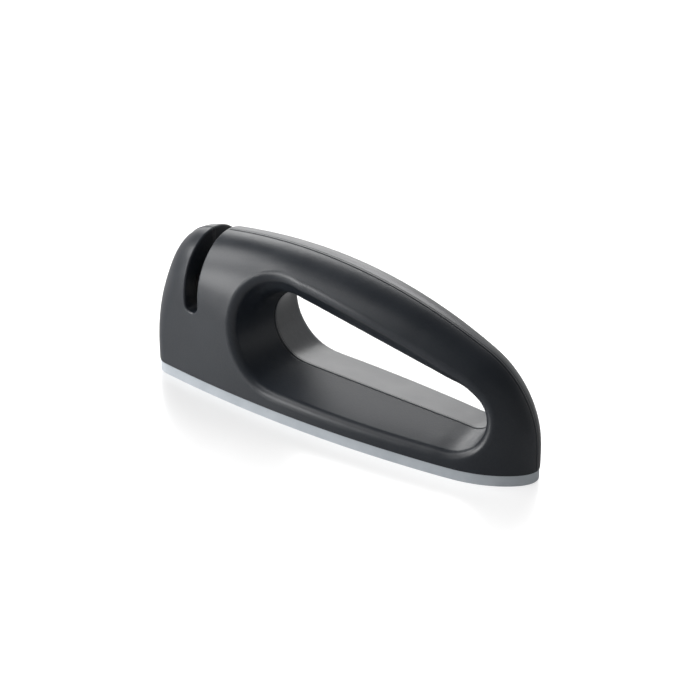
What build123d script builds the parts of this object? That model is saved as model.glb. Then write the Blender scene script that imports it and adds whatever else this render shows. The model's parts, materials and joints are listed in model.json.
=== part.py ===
from build123d import *
import math
import os

# A hand-held pull-through knife sharpener. Millimetres, +Z up, the origin on the table under the middle of the body.
# The body lies along X: the head with the blade slot at -X, the handle and its tail at +X. A knife is drawn through
# the slot along Y, with its edge down in the V between two ceramic wheels that turn on a fixed steel axle.
# Front is -Y, rear is +Y, left is -X and right is +X. The two shells are mirror images that meet at Y = 0.

# ---- Body
length = 190.0  # from the head wall to the tail
height = 71.2  # table to the highest point of the crown
half_width = 24.6  # at the widest place of the plan
sole_height = 5.0  # soft strip under the shells
wall = 2.4  # shells

# Side outline: head wall, brow, crown and tail, each an arc that is tangent to the next one.
crown_setback = 72.0  # head wall to the highest point
head_wall_radius = 105.0
head_wall_foot = 14.0  # height at which the head wall is plumb
brow_radius = 17.0
tail_radius = 40.0
tail_foot = 15.25  # height at which the tail is plumb

# Plan outline: each side is one long arc, and the roll below rounds its ends.
plan_setback = 87.0  # head wall to the widest place
tail_half_width = 14.6  # where that arc meets the tail

# Roll: how far in from the side outline the body reaches its full width.
crown_roll = 40.0
head_roll = 14.0
tail_roll = 42.0
roll_power = 2.4  # 2 would be an ellipse, and more is softer where the roll ends
roll_change_start = 45.0  # along the outline, before the middle of the brow
roll_change_end = 60.0  # and after it

# ---- Finger hole
hole_setback = 55.8  # head wall to the hole, at the seam
grip_thickness = 20.3  # crown to the hole
hole_floor = 17.1  # table to the hole, at its head end
tail_floor = 15.1  # table to the hole, at its tail end
tail_thickness = 21.2  # hole to the tail
hole_tail_radius = 10.3
floor_draft = 0.2  # the hole widens by this much per millimetre away from the seam
head_draft = 0.20
tail_draft = 0.38
grip_draft = 0.25
grip_curl_rise = 7.4  # what the grip's underside rises more than its draft
grip_curl_depth = 16.0  # where it has risen so far, measured from the seam
grip_curl_limit = 1.35  # what the rise comes to further out, as a share of it
grip_curl_sharpness = 8  # how suddenly it sets in
grip_curl_focus = 3  # more keeps the rise further from the hole's ends
rim_radius = 4.0  # the rounded lip of the hole

# ---- Blade slot
slot_setback = 27.2  # head wall to the middle of the slot
slot_width = 7.2
slot_floor = 35.5  # table to the lowest point of the slot
slot_wall = 1.8  # lining of the slot inside the shells
slot_lip_radius = 0.8

# ---- Fits
running_clearance = 0.06  # radial, between what turns and its axle
press_clearance = 0.01  # radial, between pressed parts
screw_clearance = 0.03  # radial, screw thread to its pilot hole
seat_clearance = 0.15  # between parts that drop into each other
end_play = 0.1  # along the axle, beside each wheel

# ---- Ceramic wheels and what carries them
wheel_diameter = 22.0
wheel_width = 4.6
wheel_chamfer = 0.4
vee_half_angle = 20.0  # degrees, from the blade's plane to a wheel's cone
vee_root_radius = 5.2
axle_drop = 1.5  # slot floor down to the axle
axle_diameter = 4.0
bush_diameter = 7.0
bush_flange_diameter = 9.4
bush_flange = 0.8
spacer_width = 1.0
spacer_diameter = 6.6
washer_diameter = 9.0
thrust_washer = 0.5
wave_washer = 0.4
cheek = 2.0  # fork arms of the cradle
cheek_half_span = 8.0  # along the blade's path
cheek_top = 6.5  # above the axle
axle_overhang = 2.0  # axle beyond each cheek
clip_thickness = 0.5
clip_diameter = 7.4
clip_groove = 0.5  # depth
cradle_foot = 3.0
cradle_half_span = 13.0
cradle_boss_diameter = 7.4
cradle_boss_height = 9.0
guide_height = 14.8  # top of the blade guide above the axle
guide_half_span = 13.2
guide_end_wall = 1.3
guide_skirt = 4.0  # end walls below the axle
guide_gap = 4.2  # between the two lips that keep the blade upright
guide_lip = 2.8
wheel_clearance = 0.6  # round the wheels, inside the guide

# ---- Sole and base plate
sole_inset = 0.4  # the sole stands back from the shells
sole_floor = 2.0
sole_rim = 2.6

# ---- Fasteners
screw_diameter = 2.9
screw_head_diameter = 5.6
screw_head = 1.5
screw_reach = 5.5  # into the boss
screw_recess_depth = 0.8
screw_recess_width = 0.8
screw_recess_length = 3.4
screw_tip_room = 0.6  # beyond the screw's tip
boss_diameter = 7.0
boss_height = 9.0
rib_thickness = 1.8  # from each boss to the shell's side
boss_spots = ((11.0, 10.0), (107.0, 15.0))  # setback from the head wall, distance from the seam
tail_boss_spot = (15.0, 7.0)  # setback from the tail, distance from the seam
dowel_diameter = 3.5
dowel_length = 14.0
dowel_boss_diameter = 8.0
dowel_spots = ((10.5, 31.0), (44.0, 49.0))  # setback from the head wall, height
tail_dowel_spots = ((73.0, 56.0), (10.5, 29.0))  # setback from the tail, height

# ---- Worked out from the values above
head_x = -length / 2
tail_x = length / 2
slot_x = head_x + slot_setback
axle_z = slot_floor - axle_drop
wheel_inner = spacer_width / 2 + end_play
wheel_outer = wheel_inner + wheel_width
washer_inner = wheel_outer + bush_flange + end_play
wave_inner = washer_inner + thrust_washer + end_play / 2
cheek_inner = wave_inner + wave_washer + end_play / 2
cheek_outer = cheek_inner + cheek
clip_inner = cheek_outer + end_play
guide_top = axle_z + guide_height
pilot_depth = screw_reach + screw_tip_room
pilot_diameter = screw_diameter + 2 * screw_clearance
big = 4 * length  # larger than anything here
overcut = 1.0  # how far a cut runs past the face it opens
touching = 0.1  # two things nearer than this are taken to meet

fan_depth = 25.0  # depth below the table at which the body's sections start
fan_spread = 0.62  # of the half length, over which they start
section_count = 41
section_crowding = 30.0  # a turn of one radian gets as many sections as this length of outline
roll_points = 9  # of each section's curve, over its roll
side_points = 4  # and below it
side_stride = 2.5  # step between the side's points, in steps of the roll
hole_points = 36  # of the finger hole's outline
hole_steps = 10  # from the seam to past the shell


# ---- Body surface

def direction(start, end):
    """Angle of the line from one arc's centre to another's."""
    return math.atan2(end[1] - start[1], end[0] - start[0])


def nested_arc(first, second, radius):
    """Arc of this radius that touches two larger arcs from inside, on the upper left."""
    reach_first = first[2] - radius
    reach_second = second[2] - radius
    gap = math.hypot(second[0] - first[0], second[1] - first[1])
    along = (reach_first**2 - reach_second**2 + gap**2) / (2 * gap)
    off = math.sqrt(reach_first**2 - along**2)
    lean = direction(first, second)
    x = first[0] + along * math.cos(lean) - off * math.sin(lean)
    z = first[1] + along * math.sin(lean) + off * math.cos(lean)
    other_x = first[0] + along * math.cos(lean) + off * math.sin(lean)
    other_z = first[1] + along * math.sin(lean) - off * math.cos(lean)
    return (x, z, radius) if z > other_z else (other_x, other_z, radius)


def outline_arcs():
    """Head wall, brow, crown and tail. The crown is level at its highest point and runs into the tail."""
    tail = (tail_x - tail_radius, tail_foot, tail_radius)
    crown_x = head_x + crown_setback
    drop = height - tail_foot
    crown_radius = ((tail[0] - crown_x) ** 2 + drop**2 - tail_radius**2) / (2 * (drop - tail_radius))
    crown = (crown_x, height - crown_radius, crown_radius)
    head_wall = (head_x + head_wall_radius, head_wall_foot, head_wall_radius)
    return head_wall, nested_arc(head_wall, crown, brow_radius), crown, tail


def ease(share):
    """Step from 0 to 1 that starts and ends without a change of slope or curvature."""
    share = min(1.0, max(0.0, share))
    return share**3 * (share * (6 * share - 15) + 10)


def roll_depth(angle, run, brow_run):
    """Depth of the roll where the outline's normal has this angle, this far along the outline."""
    toward_tail = math.cos(angle) if angle < math.pi / 2 else 0.0
    beyond_brow = crown_roll + (tail_roll - crown_roll) * toward_tail**2
    change = ease((run - brow_run + roll_change_start) / (roll_change_start + roll_change_end))
    return head_roll + (beyond_brow - head_roll) * change


def outline_stretches():
    """The side outline in order, as (centre x, centre z, radius), start angle, turn and run. Its ends are plumb."""
    head_wall, brow, crown, tail = outline_arcs()
    turns = [math.pi, direction(head_wall, brow), direction(crown, brow), direction(crown, tail), 0.0]
    stretches = [((head_x, 0.0, 0.0), math.pi, 0.0, head_wall[1] + fan_depth)]
    for arc, start, end in zip((head_wall, brow, crown, tail), turns[:-1], turns[1:]):
        stretches.append((arc, start, start - end, arc[2] * (start - end)))
    stretches.append(((tail_x, 0.0, 0.0), 0.0, 0.0, tail[1] + fan_depth))
    return stretches


def outline_stations(inset):
    """Where the sections stand, from below the head wall to below the tail: x, z, roll and share of the outline."""
    stretches = outline_stretches()
    runs = [stretch[3] for stretch in stretches]
    weights = [run + section_crowding * turn for _, _, turn, run in stretches]
    brow_run = runs[0] + runs[1] + runs[2] / 2
    stations = []
    for index in range(section_count):
        place = sum(weights) * index / (section_count - 1)
        piece = 0
        while piece < len(weights) - 1 and place > weights[piece]:
            place -= weights[piece]
            piece += 1
        arc, start, turn, run = stretches[piece]
        part = min(1.0, place / weights[piece])
        angle = start - turn * part
        run_here = sum(runs[:piece]) + run * part
        x = arc[0] + (arc[2] - inset) * math.cos(angle)
        z = arc[1] + (arc[2] - inset) * math.sin(angle)
        if piece == 0:
            z = run_here - fan_depth
        elif piece == len(stretches) - 1:
            z = sum(runs) - run_here - fan_depth
        roll = roll_depth(angle, run_here, brow_run) - inset
        stations.append((x, z, roll, run_here / sum(runs)))
    return stations


def plan_half_width(x, inset):
    """Half width of the plan before its ends are rolled."""
    away = (x - head_x - plan_setback) / (length - plan_setback)
    return half_width - inset - (half_width - tail_half_width) * away**2


def arch_section(station, inset):
    """Closed section of the body in the plane that leans from its foot to a point of the side outline."""
    x, z, roll, share = station
    foot_x = fan_spread * (head_x + share * length)
    ray = math.hypot(x - foot_x, z + fan_depth)
    depths = [roll * (1 - math.cos(math.pi / 2 * step / roll_points)) for step in range(roll_points + 1)]
    depths += [roll + (ray - roll) * step / side_points for step in range(1, side_points + 1)]
    front = []
    for depth in depths:
        px = x + (foot_x - x) * depth / ray
        pz = z - (fan_depth + z) * depth / ray
        fullness = math.sqrt(1 - max(0.0, 1 - depth / roll) ** roll_power)
        front.append(Vector(px, -plan_half_width(px, inset) * fullness, pz))
    rear = [Vector(point.X, -point.Y, point.Z) for point in front[1:]]
    down = [float(step) for step in range(roll_points + 1)]
    down += [roll_points + side_stride * step for step in range(1, side_points + 1)]
    places = [-place for place in down[::-1]] + down[1:]
    arch = Edge.make_spline(front[::-1] + rear, parameters=places)
    return Wire([arch, Edge.make_line(rear[-1], front[-1])])


def layer(low, high):
    """Everything between two heights."""
    return Pos(0, 0, low) * Box(big, big, high - low, align=(Align.CENTER, Align.CENTER, Align.MIN))


def front_layer(low, high):
    """Everything between two heights on the front side of the seam."""
    return Pos(0, 0, low) * Box(big, big, high - low, align=(Align.CENTER, Align.MAX, Align.MIN))


def body_form(inset):
    """The body's outer form, set in by inset, down to well below the table."""
    return Solid.make_loft([arch_section(station, inset) for station in outline_stations(inset)])


# ---- Finger hole

def hole_stations(count):
    """Points round the hole at the seam with outward normals: two round ends joined by their outer tangents."""
    head_r = (height - grip_thickness - hole_floor) / 2
    head = (head_x + hole_setback + head_r, hole_floor + head_r)
    tail = (tail_x - tail_thickness - hole_tail_radius, tail_floor + hole_tail_radius)
    span = math.hypot(tail[0] - head[0], tail[1] - head[1])
    axis = direction(head, tail)
    lean = math.acos((head_r - hole_tail_radius) / span)
    straight = span * math.sin(lean)
    turns = (
        (head, head_r, axis + lean, head_r * 2 * (math.pi - lean), True),
        (head, head_r, axis - lean, straight, False),
        (tail, hole_tail_radius, axis - lean, hole_tail_radius * 2 * lean, True),
        (tail, hole_tail_radius, axis + lean, straight, False),
    )
    total = sum(turn[3] for turn in turns)
    stations = []
    for index in range(count):
        run = total * index / count
        for centre, radius, angle, run_length, is_arc in turns:
            if run < run_length:
                break
            run -= run_length
        if is_arc:
            angle += run / radius
            run = 0.0
        nx, nz = math.cos(angle), math.sin(angle)
        stations.append((centre[0] + radius * nx - run * nz, centre[1] + radius * nz + run * nx, nx, nz))
    return stations


def grip_curl(away):
    """What the grip's underside rises more than its draft, this far from the seam."""
    growth = (away / grip_curl_depth) ** grip_curl_sharpness
    return grip_curl_rise * grip_curl_limit * growth / (grip_curl_limit - 1 + growth)


def hole_section(away, inset):
    """The hole's outline this far from the seam, on the front side."""
    points = []
    for x, z, nx, nz in hole_stations(hole_points):
        upward = ((1 + nz) / 2) ** 2
        downward = ((1 - nz) / 2) ** 2
        sideways = 1 - upward - downward
        end_draft = head_draft if nx < 0 else tail_draft
        draft = grip_draft * upward + floor_draft * downward + end_draft * sideways
        push = inset + draft * away + grip_curl(away) * upward**grip_curl_focus
        points.append(Vector(x + nx * push, -away, z + nz * push))
    places = [float(step) for step in range(hole_points + 1)]
    return Wire([Edge.make_spline(points, periodic=True, parameters=places)])


def hole_form(inset):
    """The front half of the finger hole, flared, running out past the shell. A negative inset is a smaller hole."""
    reach = half_width + wall
    return Solid.make_loft([hole_section(reach * step / hole_steps, inset) for step in range(hole_steps + 1)])


# ---- Shells

def slot_form(spare):
    """The blade slot with its round bottom, larger by spare all round."""
    radius = slot_width / 2 + spare
    centre_z = slot_floor + slot_width / 2
    upright = (Align.CENTER, Align.CENTER, Align.MIN)
    walls = Pos(slot_x, 0, centre_z) * Box(2 * radius, big, height, align=upright)
    return walls + Pos(slot_x, 0, centre_z) * Rot(90, 0, 0) * Cylinder(radius, big)


def post(x, y, low, high, diameter):
    """Upright round post or hole."""
    return Pos(x, y, low) * Cylinder(diameter / 2, high - low, align=(Align.CENTER, Align.CENTER, Align.MIN))


def cross_bar(x, z, near, far, diameter):
    """Round bar or hole along Y, from near to far."""
    return Pos(x, (near + far) / 2, z) * Rot(90, 0, 0) * Cylinder(diameter / 2, abs(far - near))


def base_screw_spots():
    """Where the screws of the front shell stand."""
    tail_setback, tail_away = tail_boss_spot
    return [(head_x + setback, -away) for setback, away in boss_spots] + [(tail_x - tail_setback, -tail_away)]


def dowel_places():
    """Place along the body, and height, of each dowel."""
    head_places = [(head_x + setback, z) for setback, z in dowel_spots]
    return head_places + [(tail_x - setback, z) for setback, z in tail_dowel_spots]


def outer_half():
    """Front half of the body, solid, with the rounded finger hole and the blade slot."""
    half = body_form(0.0) & front_layer(sole_height, 2 * height)
    half = half - hole_form(0.0)
    half = half.fillet(rim_radius, [edge for edge in half.edges() if is_hole_lip(edge)])
    half = half - slot_form(0.0)
    return half.fillet(slot_lip_radius, [edge for edge in half.edges() if is_slot_lip(edge)])


def is_hole_lip(edge):
    """Whether the edge is where the finger hole opens on the outside of the body."""
    box = edge.bounding_box()
    return box.max.Y < -rim_radius and box.min.Z > sole_height + rim_radius / 2


def is_slot_lip(edge):
    """Whether the edge is where the slot opens on the outside of the body."""
    box = edge.bounding_box()
    reach = slot_width / 2 + touching
    beside = box.min.X > slot_x - reach and box.max.X < slot_x + reach
    at_seam = box.min.Y > -touching
    return beside and not at_seam and box.min.Z > sole_height and edge.geom_type != GeomType.LINE


def hollow_half():
    """What is taken out of the front half: the inside, less the slot's lining, the bosses and their ribs."""
    inside = body_form(wall) & front_layer(sole_height - wall, 2 * height)
    kept = [hole_form(wall), slot_form(slot_wall)]
    for x, y in base_screw_spots():
        kept.append(post(x, y, sole_height, sole_height + boss_height, boss_diameter))
        rib = Box(rib_thickness, big, boss_height, align=(Align.CENTER, Align.MAX, Align.MIN))
        kept.append(Pos(x, y, sole_height) * rib)
    for x, z in dowel_places():
        kept.append(cross_bar(x, z, 0, -big / 2, dowel_boss_diameter))
    return inside - kept


def cartridge_room():
    """Space in the slot's lining for the wheels, their cradle and the blade guide."""
    wide = 2 * (cheek_outer + seat_clearance)
    deep = 2 * (guide_half_span + seat_clearance)
    top = guide_top + seat_clearance
    return Pos(slot_x, 0, 0) * Box(wide, deep, top, align=(Align.CENTER, Align.CENTER, Align.MIN))


def front_shell():
    """One moulded half: hollow, open below, with screw bosses and dowel bosses."""
    cuts = [hollow_half(), cartridge_room()]
    for x, y in base_screw_spots():
        cuts.append(post(x, y, 0, sole_height + pilot_depth, pilot_diameter))
    for x, z in dowel_places():
        reach = dowel_length / 2 + seat_clearance
        cuts.append(cross_bar(x, z, overcut, -reach, dowel_diameter + 2 * press_clearance))
    return outer_half() - cuts


def shell_dowels():
    """Pins across the seam, pressed into both shells."""
    half = dowel_length / 2
    pins = [cross_bar(x, z, half, -half, dowel_diameter) for x, z in dowel_places()]
    return Compound(pins)


# ---- Sole, plate and screws

def plan_slab(inset, low, high):
    """Slab with plumb sides and the plan of the shells' lower edge, set in by inset."""
    foot = body_form(inset) & layer(0, sole_height)
    plan = foot.faces().filter_by(GeomType.PLANE).sort_by(Axis.Z)[-1]
    return Pos(0, 0, low - sole_height) * extrude(plan, amount=high - low, dir=(0, 0, 1))


def base_plate(screw_spots):
    """Stiff plate in the sole, with a counterbored hole for every screw."""
    holes = []
    for x, y in screw_spots:
        holes.append(post(x, y, 0, sole_height + overcut, screw_diameter + 2 * seat_clearance))
        holes.append(post(x, y, 0, sole_floor + screw_head, screw_head_diameter + 2 * seat_clearance))
    return plan_slab(sole_inset + sole_rim + seat_clearance, sole_floor, sole_height) - holes


def base_sole():
    """Soft tray that grips the table, with the plate inside its rim."""
    tray = plan_slab(sole_inset, 0, sole_height)
    return tray - plan_slab(sole_inset + sole_rim, sole_floor, sole_height + overcut)


def screw(x, y):
    """Pan-head screw, pointing up, its head flush inside the plate."""
    head_top = sole_floor + screw_head
    body = post(x, y, sole_floor, head_top, screw_head_diameter)
    body = body + post(x, y, head_top, sole_height + screw_reach, screw_diameter)
    for turn in (0, 90):
        arm = Box(screw_recess_length, screw_recess_width, 2 * screw_recess_depth)
        body = body - Pos(x, y, sole_floor) * Rot(0, 0, turn) * arm
    return body


# ---- Wheels and cradle, built about the middle of the axle and then moved to it

def ring(inner, outer, low, high):
    """Ring about the axle, from low to high along it."""
    tube = Cylinder(outer / 2, high - low) - Cylinder(inner / 2, 2 * (high - low))
    return Pos((low + high) / 2, 0, 0) * Rot(0, 90, 0) * tube


def to_axle(shape):
    """Move a shape from the axle's own frame to its place in the head."""
    return Pos(slot_x, 0, axle_z) * shape


def mirrored(shape, side):
    """The right-hand shape for side 1 and its mirror image for side -1."""
    return shape if side > 0 else shape.mirror(Plane.YZ)


def grinding_wheel():
    """Ceramic wheel to the right of the blade, its inner side coned outside the V's root."""
    rim = wheel_diameter / 2
    slope = math.tan(math.radians(vee_half_angle))
    cone_end = rim - wheel_chamfer
    bore = bush_diameter / 2 + press_clearance
    profile = Polyline(
        (wheel_inner, bore),
        (wheel_inner, vee_root_radius),
        (wheel_inner + (cone_end - vee_root_radius) * slope, cone_end),
        (wheel_inner + (cone_end - vee_root_radius) * slope + wheel_chamfer, rim),
        (wheel_outer - wheel_chamfer, rim),
        (wheel_outer, rim - wheel_chamfer),
        (wheel_outer, bore),
        close=True,
    )
    return Solid.revolve(Face(Wire(profile.edges())), 360, Axis.X)


def wheel_bush():
    """Flanged bush that is pressed into the wheel and turns on the axle."""
    bore = axle_diameter + 2 * running_clearance
    sleeve = ring(bore, bush_diameter, wheel_inner, wheel_outer)
    return sleeve + ring(bore, bush_flange_diameter, wheel_outer, wheel_outer + bush_flange)


def loose_ring(outer, low, thickness):
    """Washer that slides on the axle."""
    return ring(axle_diameter + 2 * running_clearance, outer, low, low + thickness)


def axle_clip():
    """Open clip in the axle's groove, outside the cheek."""
    shaft = axle_diameter - 2 * clip_groove
    clip = ring(shaft, clip_diameter, clip_inner, clip_inner + clip_thickness)
    mouth = Box(4 * clip_thickness, shaft, clip_diameter, align=(Align.CENTER, Align.CENTER, Align.MAX))
    return clip - Pos(clip_inner, 0, 0) * mouth


def wheel_axle():
    """Steel pin with a groove near each end."""
    half = cheek_outer + axle_overhang
    pin = Rot(0, 90, 0) * Cylinder(axle_diameter / 2, 2 * half)
    groove = ring(axle_diameter - 2 * clip_groove, 2 * axle_diameter, clip_inner, clip_inner + clip_thickness)
    return pin - groove - groove.mirror(Plane.YZ)


def wheel_cradle():
    """Foot with two upright cheeks. The axle drops into their open slots from above."""
    floor_z = sole_height - axle_z
    upright = (Align.CENTER, Align.CENTER, Align.MIN)
    low = Pos(0, 0, floor_z)
    cradle = low * Box(2 * cheek_outer, 2 * cradle_half_span, cradle_foot, align=upright)
    for side in (-1, 1):
        middle = side * (cheek_inner + cheek / 2)
        cradle = cradle + Pos(middle, 0, floor_z) * Box(cheek, 2 * cheek_half_span, cheek_top - floor_z, align=upright)
        y = side * (cradle_half_span - cradle_boss_diameter / 2)
        cradle = cradle + post(0, y, floor_z, floor_z + cradle_boss_height, cradle_boss_diameter)
        cradle = cradle - post(0, y, floor_z - overcut, floor_z + pilot_depth, pilot_diameter)
    seat = axle_diameter + 2 * press_clearance
    notch = Box(big, seat, 2 * cheek_top, align=upright) + Rot(0, 90, 0) * Cylinder(seat / 2, big)
    return cradle - notch


def cradle_screw_spots():
    """Where the cradle's two screws stand."""
    away = cradle_half_span - cradle_boss_diameter / 2
    return [(slot_x, -away), (slot_x, away)]


def blade_guide():
    """Insert on top of the cheeks: it lines the slot, keeps the blade upright and locks the axle down."""
    top = guide_height
    low = -guide_skirt
    upright = (Align.CENTER, Align.CENTER, Align.MIN)
    guide = Pos(0, 0, low) * Box(2 * cheek_outer, 2 * guide_half_span, top - low, align=upright)
    room = guide_half_span - guide_end_wall
    guide = guide - Pos(0, 0, low - overcut) * Box(big, 2 * room, cheek_top - low + overcut, align=upright)
    tunnel = 2 * (wheel_outer + bush_flange)
    guide = guide - Rot(0, 90, 0) * Cylinder(wheel_diameter / 2 + wheel_clearance, tunnel)
    slot = Pos(-slot_x, 0, -axle_z) * slot_form(0.0)
    lips = Pos(0, 0, top - guide_lip) * Box(slot_width + overcut, 2 * room, guide_lip, align=upright)
    lips = lips - Box(guide_gap, big, 4 * top)
    guide = (guide - slot) + lips
    tongue_low = axle_diameter / 2 + seat_clearance
    for side in (-1, 1):
        tongue = Box(cheek, axle_diameter, cheek_top - tongue_low, align=upright)
        guide = guide + Pos(side * (cheek_inner + cheek / 2), 0, tongue_low) * tongue
    return guide


# ---- Assembly

def save(shape, name):
    """Write one piece as its own node."""
    export_step(shape, f"parts/{name}.step")


def main():
    os.makedirs("parts", exist_ok=True)
    front = front_shell()
    save(front, "front_shell")
    save(front.mirror(Plane.XZ), "rear_shell")
    save(shell_dowels(), "shell_dowels")

    shell_screws = base_screw_spots() + [(x, -y) for x, y in base_screw_spots()]
    save(base_plate(shell_screws + cradle_screw_spots()), "base_plate")
    save(base_sole(), "base_sole")
    save(Compound([screw(x, y) for x, y in shell_screws]), "base_screws")
    save(Compound([screw(x, y) for x, y in cradle_screw_spots()]), "cradle_screws")

    save(to_axle(wheel_cradle()), "wheel_cradle")
    save(to_axle(blade_guide()), "blade_guide")
    save(to_axle(wheel_axle()), "wheel_axle")
    save(to_axle(loose_ring(spacer_diameter, -spacer_width / 2, spacer_width)), "wheel_spacer")
    for side, name in ((-1, "left"), (1, "right")):
        save(to_axle(mirrored(grinding_wheel(), side)), f"grinding_wheel_{name}")
        save(to_axle(mirrored(wheel_bush(), side)), f"wheel_bush_{name}")
        thrust = loose_ring(washer_diameter, washer_inner, thrust_washer)
        save(to_axle(mirrored(thrust, side)), f"thrust_washer_{name}")
        wave = loose_ring(washer_diameter, wave_inner, wave_washer)
        save(to_axle(mirrored(wave, side)), f"wave_washer_{name}")
        save(to_axle(mirrored(axle_clip(), side)), f"axle_clip_{name}")


main()
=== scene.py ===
# %% [markdown]
# # A hand-held knife sharpener
# This lesson dresses a finished engineering model of a pull-through knife sharpener. A blade is drawn down
# and back through the slot in the head, between two ceramic wheels that turn on a steel axle inside. The
# solids arrive with their true sizes and stay where they are. What we add is what a moulder, a grinder and
# years of kitchen use would add: grain in the plastic, a soft grey sole, sintered stone, turned steel, the
# parting line and its bead.

# %% Load the solids
import json
import math

import bmesh
import bpy
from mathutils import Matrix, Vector


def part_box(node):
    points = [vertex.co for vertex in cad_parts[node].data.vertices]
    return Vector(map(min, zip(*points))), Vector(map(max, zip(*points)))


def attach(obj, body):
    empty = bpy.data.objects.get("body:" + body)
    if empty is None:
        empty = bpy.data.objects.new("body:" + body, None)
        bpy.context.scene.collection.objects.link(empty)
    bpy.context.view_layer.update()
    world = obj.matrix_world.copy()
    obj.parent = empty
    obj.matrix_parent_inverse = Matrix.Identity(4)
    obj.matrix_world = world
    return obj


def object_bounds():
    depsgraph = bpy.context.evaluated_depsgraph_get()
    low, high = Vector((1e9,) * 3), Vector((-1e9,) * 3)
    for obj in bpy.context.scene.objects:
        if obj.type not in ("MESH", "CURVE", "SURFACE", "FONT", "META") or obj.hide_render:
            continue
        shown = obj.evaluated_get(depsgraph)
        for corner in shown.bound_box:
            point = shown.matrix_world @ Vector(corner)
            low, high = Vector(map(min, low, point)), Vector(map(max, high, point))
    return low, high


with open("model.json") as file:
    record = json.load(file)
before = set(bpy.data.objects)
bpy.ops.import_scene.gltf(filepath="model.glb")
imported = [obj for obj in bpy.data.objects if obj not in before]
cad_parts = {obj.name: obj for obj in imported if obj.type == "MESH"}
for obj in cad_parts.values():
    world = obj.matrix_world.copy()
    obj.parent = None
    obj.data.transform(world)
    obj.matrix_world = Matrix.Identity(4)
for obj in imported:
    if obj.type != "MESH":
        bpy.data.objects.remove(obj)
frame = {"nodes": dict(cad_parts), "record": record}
cad_low, cad_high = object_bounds()
millimetre = 0.001
extent = [round((high - low) / millimetre, 1) for low, high in zip(cad_low, cad_high)]
print("solids:", len(frame["nodes"]), "size in mm:", extent)

# %% [markdown]
# Light, table and finishes are all node trees, and a tree built by hand takes many lines. A small class
# keeps them short. It adds a node, wires two sockets, and has one call for each sum or change of range that
# comes up again and again. Node trees could also be drawn in the shader editor, but then nobody could read
# here what they do.

# %% A helper for node trees
scene = bpy.context.scene
scene.view_settings.view_transform = "Standard"
scene.render.film_transparent = False


class Shader:
    """A node tree, with short calls to add nodes and wires."""

    def __init__(self, tree):
        self.tree = tree

    def add(self, kind, **settings):
        node = self.tree.nodes.new(kind)
        for name, value in settings.items():
            setattr(node, name, value)
        return node

    def wire(self, start, end):
        self.tree.links.new(start, end)

    def math(self, operation, *values):
        """A maths node. Each value is a number or another node's output."""
        node = self.add("ShaderNodeMath", operation=operation)
        for index, value in enumerate(values):
            if isinstance(value, (int, float)):
                node.inputs[index].default_value = value
            else:
                self.wire(value, node.inputs[index])
        return node.outputs[0]

    def axes(self, vector):
        """The vector's three parts, by name."""
        node = self.add("ShaderNodeSeparateXYZ")
        self.wire(vector, node.inputs[0])
        return node.outputs

    def spread(self, value, low, high, new_low, new_high, soft=False):
        """The value's range from low to high, mapped on to a new range. Soft eases in and out of it."""
        node = self.add("ShaderNodeMapRange", interpolation_type="SMOOTHSTEP" if soft else "LINEAR")
        for name, number in zip(("From Min", "From Max", "To Min", "To Max"), (low, high, new_low, new_high)):
            node.inputs[name].default_value = number
        self.wire(value, node.inputs["Value"])
        return node.outputs["Result"]

    def seen(self, path):
        """1 for what the eye sees, also through glass, and 0 for what only gives light."""
        return self.math("MAXIMUM", path.outputs["Is Camera Ray"], path.outputs["Is Transmission Ray"])


print("colours are shown as they are:", scene.view_settings.view_transform)

# %% [markdown]
# The light is a white studio sweep in a dim room: a bright wall behind and to the left, a dark ceiling, and
# less light from the front right. Dark satin plastic shows its shape almost only by what it mirrors, so
# parts of the room have to be dark, or the body turns into one flat grey. Walls could be modelled, but the
# world can stand in for them: its strength falls from the wall to the ceiling with the height of the ray,
# and from back to front with its direction. The fall to the front is for mirrored light alone, and
# scattered light comes evenly from all round. The eye, and anything seen through glass, finds plain white.

# %% The room
wall_light = 0.85
ceiling_light = 0.20
wall_top = 0.25  # sine of the height at which the wall starts to darken
ceiling_start = 0.70  # sine of the height from which all is ceiling
bright_side = (-0.6, 0.8, 0.0)  # where the wall stands
dim_share = 0.30  # what is left of its light on the opposite side
dim_up_to = -0.7  # along the bright side's direction
bright_from = 0.5


def light_world():
    """White wall and dark ceiling for the light, and plain white for the eye."""
    world = bpy.data.worlds.new("studio_sweep")
    world.use_nodes = True
    scene.world = world
    shader = Shader(world.node_tree)
    background = world.node_tree.nodes["Background"]
    ray = shader.add("ShaderNodeTexCoord").outputs["Generated"]
    side = shader.add("ShaderNodeVectorMath", operation="DOT_PRODUCT")
    side.inputs[1].default_value = bright_side
    shader.wire(ray, side.inputs[0])
    wall = shader.spread(shader.axes(ray)["Z"], wall_top, ceiling_start, wall_light, ceiling_light, soft=True)
    turned = shader.spread(side.outputs["Value"], dim_up_to, bright_from, dim_share, 1.0, soft=True)
    path = shader.add("ShaderNodeLightPath")
    turned = shader.math("MAXIMUM", turned, path.outputs["Is Diffuse Ray"])
    strength = shader.math("MAXIMUM", shader.seen(path), shader.math("MULTIPLY", wall, turned))
    shader.wire(strength, background.inputs["Strength"])
    background.inputs["Color"].default_value = (1, 1, 1, 1)


light_world()
print("world:", scene.world.name)

# %% [markdown]
# Five soft boxes add the modelling that a room alone can't give. A large one and a low one stand behind,
# and draw the pale band beyond the seam and the floor of the grip opening. Three small ones at the front
# left light the head, the side and the top of the grip. They stand near, so the body grows darker toward
# its tail, as it would on a worktop beside a window.

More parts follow.
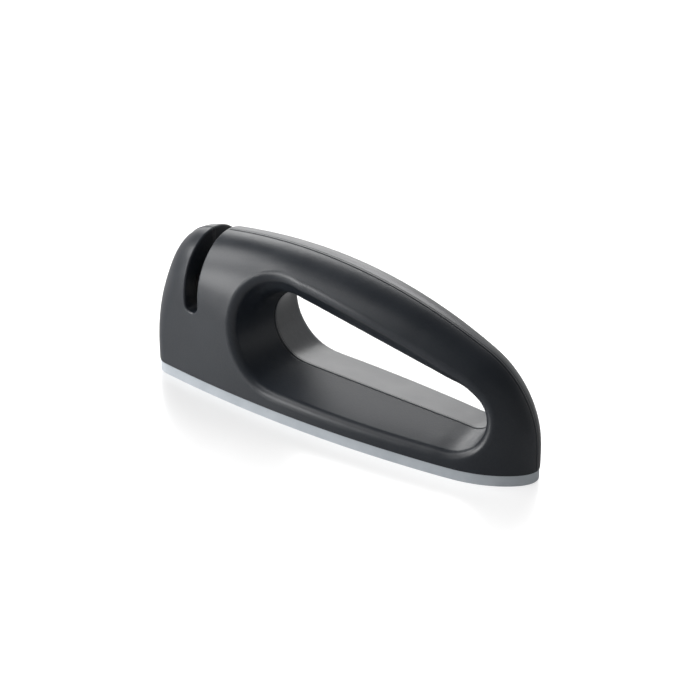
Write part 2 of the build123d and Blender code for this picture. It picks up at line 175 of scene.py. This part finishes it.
# %% The soft boxes
middle = Vector([(low + high) / 2 for low, high in zip(cad_low, cad_high)])
soft_boxes = {  # place, width and depth in metres, then power in watts
    "back_lamp": ((-0.42, 0.60, 0.52), 0.70, 0.42, 4.0),
    "low_lamp": ((-0.30, 0.35, 0.10), 0.30, 0.15, 0.25),
    "side_lamp": ((-0.35, -0.15, 0.30), 0.20, 0.20, 0.8),
    "top_lamp": ((-0.14, -0.25, 0.40), 0.20, 0.20, 0.22),
    "front_lamp": ((-0.38, -0.42, 0.16), 0.25, 0.25, 1.6),
}


def soft_lamp(name, place, width, depth, power):
    """A rectangular soft box that shines at the middle of the tool."""
    data = bpy.data.lights.new(name, "AREA")
    data.shape = "RECTANGLE"
    data.size = width
    data.size_y = depth
    data.energy = power
    lamp = bpy.data.objects.new(name, data)
    scene.collection.objects.link(lamp)
    lamp.location = place
    lamp.rotation_euler = (Vector(place) - middle).to_track_quat("Z", "Y").to_euler()


for name, values in soft_boxes.items():
    soft_lamp(name, *values)

# %% [markdown]
# The table is a sheet of glossy white acrylic. It goes on to the horizon, so its far edge never shows. It
# keeps a soft shadow and a faint mirror image along the sole. Its glow for the eye is painted light: it grows
# with the distance from the tool, so both fade into plain white a few centimetres out, and it is weaker
# beside the head.

# %% The table
table_grey = 0.50  # what it throws back of the light from above
table_roughness = 0.27
table_coat = 0.8
glow_in_mirrors = 0.03
table_glow = 0.47
# Painted light: the next three values make the table's glow weaker beside the head and stronger beyond the
# tail and far out, so shadow and mirror image fade
head_painted_shade = -0.06  # added beside the head
tail_painted_light = 0.18  # added beyond the tail
far_painted_light = 0.15  # added well away from the tool
near_edge = 1.2  # where far_painted_light starts, in half lengths and half widths of the tool
far_edge = 3.0  # where it is all there
table_drop = 0.02 * millimetre  # under the sole
reach = cad_high[0] - cad_low[0]


def painted_table_glow(shader):
    """Painted light: the table's glow for the eye, weakest beside the tool's head, more round its tail and
    far out.
    """
    place = shader.add("ShaderNodeTexCoord").outputs["Object"]
    shares = shader.add("ShaderNodeVectorMath", operation="MULTIPLY")
    shares.inputs[1].default_value = (1 / cad_high[0], 1 / cad_high[1], 0)
    shader.wire(place, shares.inputs[0])
    away = shader.add("ShaderNodeVectorMath", operation="LENGTH")
    shader.wire(shares.outputs["Vector"], away.inputs[0])
    along = shader.spread(shader.axes(place)["X"], cad_low[0], cad_high[0], head_painted_shade, tail_painted_light, soft=True)
    aside = shader.spread(away.outputs["Value"], near_edge, far_edge, 0.0, far_painted_light, soft=True)
    return shader.math("ADD", shader.math("ADD", along, aside), table_glow)


def table_finish():
    """White acrylic: diffuse white, a glow for the eye that is partly painted light, and a weak mirror coat.
    """
    material = bpy.data.materials.new("white_acrylic")
    material.use_nodes = True
    shader = Shader(material.node_tree)
    inputs = material.node_tree.nodes["Principled BSDF"].inputs
    inputs["Base Color"].default_value = (table_grey, table_grey, table_grey, 1)
    inputs["Roughness"].default_value = table_roughness
    inputs["Specular IOR Level"].default_value = table_coat
    inputs["Emission Color"].default_value = (1, 1, 1, 1)
    path = shader.add("ShaderNodeLightPath")
    seen = shader.math("MULTIPLY", shader.seen(path), painted_table_glow(shader))
    mirrored = shader.math("MULTIPLY", path.outputs["Is Glossy Ray"], glow_in_mirrors)
    shader.wire(shader.math("ADD", seen, mirrored), inputs["Emission Strength"])
    return material


def add_table():
    """A round table top, level with the underside of the sole."""
    mesh = bpy.data.meshes.new("table_top")
    shape = bmesh.new()
    bmesh.ops.create_circle(shape, cap_ends=True, segments=96, radius=60 * reach)
    shape.to_mesh(mesh)
    shape.free()
    table = bpy.data.objects.new("table_top", mesh)
    scene.collection.objects.link(table)
    table.location = (0, 0, cad_low[2] - table_drop)
    mesh.materials.append(table_finish())
    return table


print("table across, in m:", round(add_table().dimensions.x, 1))

# %% [markdown]
# The camera looks down on the front of the sharpener from its tail side, so the slot, the grip opening and
# the sole all show. A wide lens close by would make the tail swell, so a long lens looks from far away, and
# keeps the body's lines almost parallel, as in a catalogue.

# %% The camera
azimuth = math.radians(37)
elevation = math.radians(28)
distance = 1.5
aim = Vector((0.59, -0.57, 30.74)) * millimetre
sensor_width = 36.0  # in millimetres, as is the lens length
lens_length = 185.6


def toward_camera():
    """Unit vector from the object to the camera. Azimuth 0 looks along +Y."""
    level = math.cos(elevation)
    return Vector((math.sin(azimuth) * level, -math.cos(azimuth) * level, math.sin(elevation)))


def add_camera():
    data = bpy.data.cameras.new("camera")
    data.sensor_width = sensor_width
    data.lens = lens_length
    data.clip_end = 200
    camera = bpy.data.objects.new("camera", data)
    scene.collection.objects.link(camera)
    camera.location = aim + toward_camera() * distance
    camera.rotation_euler = toward_camera().to_track_quat("Z", "Y").to_euler()
    scene.camera = camera


add_camera()
print("camera stands", round(scene.camera.location.length, 2), "m away")

# %% [markdown]
# Every finish below starts from the same few ideas. A coordinate in the object's own space keeps the grain
# where it is when a wheel turns. Noise at two or three sizes gives mottle and grain, and a bevelled copy of
# the surface normal finds the edges, where hands and knives have rubbed. Scanned pictures of plastic would
# also do, but they stretch over a body this curved, while noise in space fits any shape.

# %% Helpers for finishes
flat_cosine = 0.995  # between the plain and the bevelled normal, on an open surface
edge_cosine = 0.90  # and on an edge


class Finish(Shader):
    """A new material with one principled shader, made in the order colour, roughness, relief."""

    def __init__(self, name, roughness=0.5, metallic=0.0, specular=0.5):
        material = bpy.data.materials.new(name)
        material.use_nodes = True
        super().__init__(material.node_tree)
        self.material = material
        self.principled = material.node_tree.nodes["Principled BSDF"]
        self.principled.inputs["Roughness"].default_value = roughness
        self.principled.inputs["Metallic"].default_value = metallic
        self.principled.inputs["Specular IOR Level"].default_value = specular
        self.place = self.add("ShaderNodeTexCoord").outputs["Object"]

    def noise(self, size, detail=2.0, stretch=None):
        """Noise from 0 to 1 with features of this size in metres. A stretch draws them out along an axis."""
        place = self.place
        if stretch:
            mapping = self.add("ShaderNodeMapping")
            mapping.inputs["Scale"].default_value = stretch
            self.wire(place, mapping.inputs["Vector"])
            place = mapping.outputs["Vector"]
        node = self.add("ShaderNodeTexNoise")
        node.inputs["Scale"].default_value = 1 / size
        node.inputs["Detail"].default_value = detail
        self.wire(place, node.inputs["Vector"])
        return node.outputs["Fac"]

    def cells(self, size):
        """Distance to the nearest grain, for grains of this size in metres."""
        node = self.add("ShaderNodeTexVoronoi")
        node.inputs["Scale"].default_value = 1 / size
        self.wire(self.place, node.inputs["Vector"])
        return node.outputs["Distance"]

    def edges(self, radius):
        """1 on edges of about this radius in metres, and 0 on open surfaces."""
        bevel = self.add("ShaderNodeBevel", samples=4)
        bevel.inputs["Radius"].default_value = radius
        plain = self.add("ShaderNodeNewGeometry")
        dot = self.add("ShaderNodeVectorMath", operation="DOT_PRODUCT")
        self.wire(bevel.outputs["Normal"], dot.inputs[0])
        self.wire(plain.outputs["Normal"], dot.inputs[1])
        return self.spread(dot.outputs["Value"], flat_cosine, edge_cosine, 0.0, 1.0)

    def mottled(self, noise, low, high, first, second):
        """Two colours, the second where the noise is high."""
        return self.blend(self.spread(noise, low, high, 0, 1), first, second)

    def rubbed(self, radius, share, base, pale):
        """The base colour, with a share of a paler one on edges of this radius."""
        return self.blend(self.math("MULTIPLY", self.edges(radius), share), base, pale)

    def blend(self, share, first, second):
        """Mix of two colours. Each is a tuple or another node's output."""
        node = self.add("ShaderNodeMix", data_type="RGBA")
        for socket, value in ((node.inputs[6], first), (node.inputs[7], second)):
            if isinstance(value, tuple):
                socket.default_value = (*value, 1)
            else:
                self.wire(value, socket)
        self.wire(share, node.inputs[0])
        return node.outputs[2]

    def colour(self, output):
        self.wire(output, self.principled.inputs["Base Color"])

    def roughness(self, output):
        self.wire(output, self.principled.inputs["Roughness"])

    def relief(self, *layers):
        """Stacked bumps, each a height output and its depth in metres."""
        normal = None
        for height, depth in layers:
            bump = self.add("ShaderNodeBump")
            bump.inputs["Distance"].default_value = depth
            bump.inputs["Strength"].default_value = 1.0
            self.wire(height, bump.inputs["Height"])
            if normal is not None:
                self.wire(normal, bump.inputs["Normal"])
            normal = bump.outputs["Normal"]
        self.wire(normal, self.principled.inputs["Normal"])


def dress(finish, *node_names):
    """Give carried-over solids this finish."""
    for name in node_names:
        materials = frame["nodes"][name].data.materials
        materials.clear()
        materials.append(finish.material)
    print(finish.material.name, "on", ", ".join(node_names))


# %% [markdown]
# The shells are moulded in anthracite plastic in a tool that was spark eroded, which leaves a fine satin
# grain. The pigment is never quite even, and palms polish the rounded edges a little. The two halves meet
# on the line Y = 0, in a shallow groove on each side of a bead that hides any step between them. The bead
# is a piece of its own, made further down. The grooves are a tenth of a millimetre deep, too fine for the
# solids, so they are pressed into the finish: a pulse of depth at one distance from the seam. The shade in
# them is painted, as a darker colour in the same pulse.

# %% Shell plastic
groove_place = 0.75 * millimetre  # from the seam to the middle of each groove
groove_half = 0.30 * millimetre
groove_depth = 0.10 * millimetre


def seam_grooves(finish):
    """1 in the grooves beside the seam, and 0 elsewhere."""
    away = finish.math("ABSOLUTE", finish.axes(finish.place)["Y"])
    off = finish.math("ABSOLUTE", finish.math("SUBTRACT", away, groove_place))
    return finish.spread(off, 0.0, groove_half, 1.0, 0.0)


def shell_plastic():
    finish = Finish("satin_anthracite")
    mottle = finish.noise(14 * millimetre, detail=3)
    grain = finish.noise(0.7 * millimetre, detail=2)
    waviness = finish.noise(7 * millimetre, detail=1)
    worn = finish.edges(0.7 * millimetre)
    groove_and_shade = seam_grooves(finish)
    base = finish.mottled(mottle, 0.35, 0.65, (0.0090, 0.0125, 0.0190), (0.0125, 0.0165, 0.0235))
    base = finish.blend(finish.spread(grain, 0.3, 0.7, 0, 0.5), base, (0.0200, 0.0225, 0.0260))
    base = finish.blend(finish.math("MULTIPLY", worn, 0.3), base, (0.044, 0.048, 0.053))
    # Painted shade: the grooves are darkened in colour as well as sunk by the relief below
    finish.colour(finish.blend(finish.math("MULTIPLY", groove_and_shade, 0.5), base, (0.006, 0.007, 0.008)))
    rough = finish.spread(mottle, 0.3, 0.7, 0.33, 0.38)
    rough = finish.math("SUBTRACT", rough, finish.math("MULTIPLY", worn, 0.05))
    finish.roughness(finish.math("ADD", rough, finish.math("MULTIPLY", groove_and_shade, 0.3)))
    sunk = finish.math("MULTIPLY", groove_and_shade, -1.0)
    finish.relief((waviness, 0.012 * millimetre), (grain, 0.020 * millimetre), (sunk, groove_depth))
    return finish


body_finish = shell_plastic()
dress(body_finish, "front_shell", "rear_shell")

# %% [markdown]
# The bead along the parting line is a fifth of a millimetre high: a raised rib that the mould leaves where
# its halves close. It could be cut into the solids, but it is far finer than their other detail, so it is
# laid on them here. Its path is felt out, as one would with a finger: rays are shot at the shell just
# beside the seam, from outside for the back of the body and from the middle of the hole for the grip, and
# each hit is a point of the path. The slot interrupts it.

# %% Feel out the seam
shell = frame["nodes"]["front_shell"]
bpy.context.view_layer.update()
openings = {opening["name"]: opening for opening in frame["record"]["physics"]["openings"]}
beside_seam = -0.05 * millimetre  # where the rays meet the front shell
above_foot = 0.1 * millimetre  # where they start, over the shell's lower edge
slot_keep_out = 4.6 * millimetre  # from the slot's middle to each end of the bead
bead_step = 1.0 * millimetre
back_rays = 720
grip_rays = 1440


def opening_centre(name):
    low, high = openings[name]["box_m"]
    return Vector(((low[0] + high[0]) / 2, beside_seam, (low[2] + high[2]) / 2))


def feel(start, direction):
    """Where a ray first meets the shell, on the seam's plane, or None."""
    hit, place, _, _ = shell.ray_cast(start, direction)
    return Vector((place.x, 0, place.z)) if hit else None


def fan(centre, first, last, count, reach_out):
    """Points of the shell round a centre. A reach out starts each ray outside and shoots it inwards."""
    points = []
    for index in range(count):
        angle = first + (last - first) * index / count
        outward = Vector((math.cos(angle), 0, math.sin(angle)))
        if reach_out:
            points.append(feel(centre + outward * reach_out, -outward))
        else:
            points.append(feel(centre, outward))
    return [point for point in points if point]


def evened(points, closed):
    """The same path with points at even distances."""
    track = points + points[:1] if closed else points
    lengths = [0.0]
    for here, after in zip(track, track[1:]):
        lengths.append(lengths[-1] + (after - here).length)
    count = round(lengths[-1] / bead_step)
    result = []
    piece = 0
    for index in range(count if closed else count + 1):
        goal = lengths[-1] * index / count
        while piece < len(lengths) - 2 and lengths[piece + 1] < goal:
            piece += 1
        part = (goal - lengths[piece]) / (lengths[piece + 1] - lengths[piece])
        result.append(track[piece].lerp(track[piece + 1], part))
    return result


slot_middle = opening_centre("blade_slot").x
foot_centre = Vector((0, beside_seam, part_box("front_shell")[0][2] + above_foot))
outline = fan(foot_centre, 0, math.pi, back_rays, reach)
back_path = evened([point for point in outline if point.x > slot_middle + slot_keep_out], closed=False)
head_path = evened([point for point in outline if point.x < slot_middle - slot_keep_out], closed=False)
grip_path = evened(fan(opening_centre("finger_hole"), 0, 2 * math.pi, grip_rays, None), closed=True)
print("bead points:", len(back_path), len(head_path), len(grip_path))

# %% [markdown]
# The bead itself is a low arch swept along each path. At every point the arch stands square to the path,
# its feet just under the skin, so it reads as one piece with the shell. A curve with a bevel would sweep it
# too, but it would twist where the path turns, and these rows can't.

# %% The bead
# across the seam and out from the skin, in millimetres
bead_arch = [
    (-0.58, -0.06), (-0.46, 0.07), (-0.26, 0.15), (0.0, 0.18),
    (0.26, 0.15), (0.46, 0.07), (0.58, -0.06),
]


def sweep_bead(name, path, closed, outward_sign):
    """The arch swept along the path. The sign says on which side of the path the open air is."""
    shape = bmesh.new()
    rows = []
    count = len(path)
    for index, point in enumerate(path):
        before = path[index - 1] if closed or index > 0 else point
        after = path[(index + 1) % count] if closed or index < count - 1 else point
        along = (after - before).normalized()
        out = Vector((along.z, 0, -along.x)) * outward_sign
        rows.append([
            shape.verts.new(point + Vector((0, y, 0)) * millimetre + out * h * millimetre)
            for y, h in bead_arch
        ])
    pairs = list(zip(rows, rows[1:] + rows[:1] if closed else rows[1:]))
    for row, following in pairs:
        for index in range(len(bead_arch) - 1):
            shape.faces.new((row[index], row[index + 1], following[index + 1], following[index]))
    bmesh.ops.recalc_face_normals(shape, faces=shape.faces)
    for face in shape.faces:
        face.smooth = True
    mesh = bpy.data.meshes.new(name)
    shape.to_mesh(mesh)
    shape.free()
    mesh.materials.append(body_finish.material)
    bead = bpy.data.objects.new(name, mesh)
    scene.collection.objects.link(bead)
    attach(bead, "housing")
    return bead


for name, path, closed, outward_sign in (
    ("seam_bead_back", back_path, False, 1),
    ("seam_bead_head", head_path, False, 1),
    ("seam_bead_grip", grip_path, True, -1),
):
    bead = sweep_bead(name, path, closed, outward_sign)
    print(name, "has", len(bead.data.polygons), "faces")

# %% [markdown]
# The sole is a soft grey rubber tray that keeps the tool from sliding. It is moulded too, but matt and
# slightly mottled, and its corners have rubbed lighter on the table. Its grain is finer than the shells'
# and is relief in the finish, because no outline shows it.

# %% Sole rubber


def sole_rubber():
    finish = Finish("grey_sole_rubber", specular=0.35)
    mottle = finish.noise(9 * millimetre, detail=4)
    grain = finish.noise(0.25 * millimetre, detail=2)
    base = finish.mottled(mottle, 0.35, 0.65, (0.43, 0.465, 0.50), (0.48, 0.515, 0.55))
    finish.colour(finish.rubbed(0.5 * millimetre, 0.3, base, (0.55, 0.58, 0.60)))
    finish.roughness(finish.spread(mottle, 0.3, 0.7, 0.52, 0.62))
    finish.relief((grain, 0.015 * millimetre))
    return finish


dress(sole_rubber(), "base_sole")

# %% [markdown]
# Inside, the plate and the cradle carry the load, so they are nylon filled with short glass fibres, which
# show as pale flecks drawn out along the flow. Stretched noise gives them without modelling one. The blade
# guide only rubs on knives, and is plain black acetal with a smooth skin.

# %% Inner plastics


def fibre_nylon():
    dark, pale = (0.05, 0.05, 0.053), (0.11, 0.11, 0.11)
    finish = Finish("fibre_nylon_plate", specular=0.45)
    fleck = finish.noise(0.5 * millimetre, detail=3, stretch=(1, 4, 1))
    mottle = finish.noise(5 * millimetre, detail=2)
    base = finish.mottled(fleck, 0.55, 0.75, dark, pale)
    finish.colour(finish.rubbed(0.4 * millimetre, 0.3, base, pale))
    finish.roughness(finish.spread(mottle, 0.3, 0.7, 0.42, 0.55))
    finish.relief((fleck, 0.01 * millimetre), (mottle, 0.02 * millimetre))
    return finish


def guide_acetal():
    finish = Finish("black_acetal")
    flow = finish.noise(2.5 * millimetre, detail=3, stretch=(1, 0.3, 1))
    skin = finish.noise(0.2 * millimetre, detail=1)
    base = finish.mottled(flow, 0.3, 0.7, (0.010, 0.010, 0.011), (0.016, 0.016, 0.018))
    finish.colour(finish.rubbed(0.3 * millimetre, 0.4, base, (0.05, 0.05, 0.052)))
    finish.roughness(finish.spread(flow, 0.3, 0.7, 0.30, 0.42))
    finish.relief((skin, 0.006 * millimetre))
    return finish


dress(fibre_nylon(), "base_plate", "wheel_cradle")
dress(guide_acetal(), "blade_guide")

# %% [markdown]
# The bushes are white acetal, pressed into the wheels. They run dry on the axle, so grey wear is worked
# into their colour. It is noise rather than a painted ring, because a wheel wears its bush all round.

# %% White bushes


def bush_acetal():
    finish = Finish("white_bush_acetal")
    wear = finish.noise(1.5 * millimetre, detail=4)
    skin = finish.noise(0.15 * millimetre, detail=1)
    base = finish.mottled(wear, 0.4, 0.7, (0.78, 0.78, 0.75), (0.62, 0.62, 0.60))
    finish.colour(finish.rubbed(0.25 * millimetre, 0.5, base, (0.5, 0.5, 0.48)))
    finish.roughness(finish.spread(wear, 0.3, 0.7, 0.32, 0.45))
    finish.relief((skin, 0.004 * millimetre))
    return finish


dress(bush_acetal(), "wheel_bush_left", "wheel_bush_right")

# %% [markdown]
# The grinding wheels are sintered ceramic. Close up they are a packed bed of grains with dark pores between
# them, and steel dust has settled in patches. Cells make the grains, since cells pack without gaps as
# grains do, and noise opens the pores. The shade in the pores is painted, as a darker colour.

# %% Ceramic


def grinding_ceramic():
    finish = Finish("sintered_ceramic", specular=0.3)
    grain = finish.cells(0.22 * millimetre)
    pores = finish.noise(0.6 * millimetre, detail=4)
    dust = finish.noise(3 * millimetre, detail=3)
    base = finish.mottled(grain, 0.1, 0.5, (0.74, 0.72, 0.66), (0.60, 0.58, 0.53))
    # Painted shade: the pores are darker in colour, standing in for the shade inside them
    base = finish.mottled(pores, 0.62, 0.72, base, (0.30, 0.29, 0.27))
    finish.colour(finish.blend(finish.spread(dust, 0.45, 0.75, 0, 0.5), base, (0.36, 0.36, 0.37)))
    finish.roughness(finish.spread(grain, 0.0, 0.6, 0.65, 0.85))
    finish.relief((grain, 0.03 * millimetre), (pores, 0.04 * millimetre))
    return finish


dress(grinding_ceramic(), "grinding_wheel_left", "grinding_wheel_right")

# %% [markdown]
# Axle, spacer, washers, clips, dowels and screws are steel. Turning leaves fine rings round the axle's
# line, and zinc plating leaves a slight cloud in the screws' colour. Noise squeezed along X draws the
# rings: a lathe's marks are as uneven as noise is, and a pattern of even bands would look printed.

# %% Steel


def turned_steel(name, pale, dark, rough):
    finish = Finish(name, metallic=1.0, roughness=rough)
    rings = finish.noise(0.12 * millimetre, detail=3, stretch=(1, 0.08, 0.08))
    cloud = finish.noise(2 * millimetre, detail=3)
    base = finish.mottled(cloud, 0.35, 0.7, pale, dark)
    finish.colour(finish.rubbed(0.2 * millimetre, 0.4, base, (0.75, 0.75, 0.76)))
    finish.roughness(finish.spread(rings, 0.3, 0.7, rough - 0.05, rough + 0.08))
    finish.relief((rings, 0.003 * millimetre))
    return finish


bright = turned_steel("turned_steel", (0.62, 0.62, 0.63), (0.50, 0.50, 0.52), 0.25)
zinc = turned_steel("zinc_steel", (0.60, 0.61, 0.62), (0.47, 0.48, 0.52), 0.38)
dress(zinc, "base_screws", "cradle_screws")
dress(bright, "wheel_axle", "wheel_spacer", "shell_dowels")
for side in ("left", "right"):
    dress(bright, f"thrust_washer_{side}", f"wave_washer_{side}", f"axle_clip_{side}")

# %% [markdown]
# The last cell writes down how large the finished model is, next to the size of the solids, and hands over.

# %% Sizes and hand-over


def plain(corners):
    return [[float(value) for value in corner] for corner in corners]
